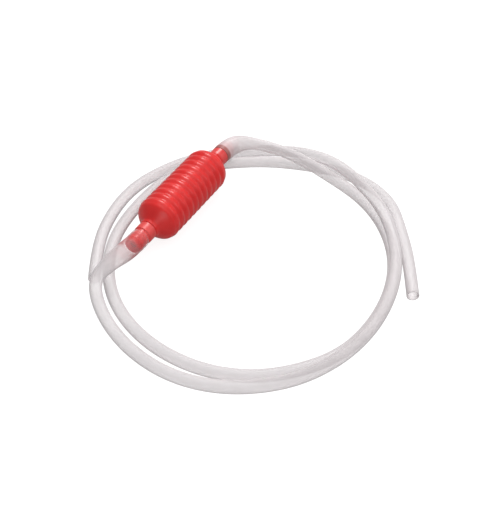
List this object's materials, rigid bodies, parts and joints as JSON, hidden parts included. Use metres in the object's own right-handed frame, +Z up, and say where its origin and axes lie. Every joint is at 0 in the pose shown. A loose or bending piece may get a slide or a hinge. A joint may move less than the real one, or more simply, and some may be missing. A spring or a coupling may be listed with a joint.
{
  "type": "squeeze bulb siphon",
  "caption": "In-line hand siphon: a ribbed soft squeeze bulb between two one-way ball valves, with a clear vinyl hose pushed over the spigot at each end and laid in a loose ring.",
  "frame": {"origin": "on the floor under the middle of the bulb, halfway between the two fittings' ends; the hoses lie to one side of it", "axes": "+X along the bulb from the inlet fitting to the outlet fitting, the way the water runs; +Z up from the floor; +Y to the left of the flow, away from the middle of the hose ring"},
  "size_m": [0.2856, 0.2757, 0.0386],
  "materials": {
    "bulb_vinyl": "gloss",
    "fitting_plastic": "gloss",
    "valve_rubber": "matte",
    "valve_ball": "satin",
    "cage_plastic": "satin",
    "clear_vinyl": "gloss"
  },
  "bodies": {
    "ends_and_hoses": {"inlet_fitting": "fitting_plastic", "outlet_fitting": "fitting_plastic", "inlet_valve_seat": "valve_rubber", "outlet_valve_seat": "valve_rubber", "inlet_valve_cage": "cage_plastic", "outlet_valve_cage": "cage_plastic", "inlet_hose": "clear_vinyl", "inlet_hose_flare": "clear_vinyl", "outlet_hose": "clear_vinyl", "outlet_hose_flare": "clear_vinyl"},
    "bulb": {"squeeze_bulb": "bulb_vinyl"},
    "inlet_ball": {"inlet_valve_ball": "valve_ball"},
    "outlet_ball": {"outlet_valve_ball": "valve_ball"}
  },
  "joints": [
    {"name": "bulb_squeeze", "type": "slide", "parent": "ends_and_hoses", "child": "bulb", "axis": [0, 0, -1], "range_m": [0, 0.0054], "stiffness_N_per_m": 1500, "deforming": ["squeeze_bulb"]},
    {"name": "inlet_ball_lift", "type": "slide", "parent": "ends_and_hoses", "child": "inlet_ball", "axis": [1, 0, 0], "range_m": [0, 0.0024]},
    {"name": "outlet_ball_lift", "type": "slide", "parent": "ends_and_hoses", "child": "outlet_ball", "axis": [1, 0, 0], "range_m": [0, 0.0024]}
  ]
}
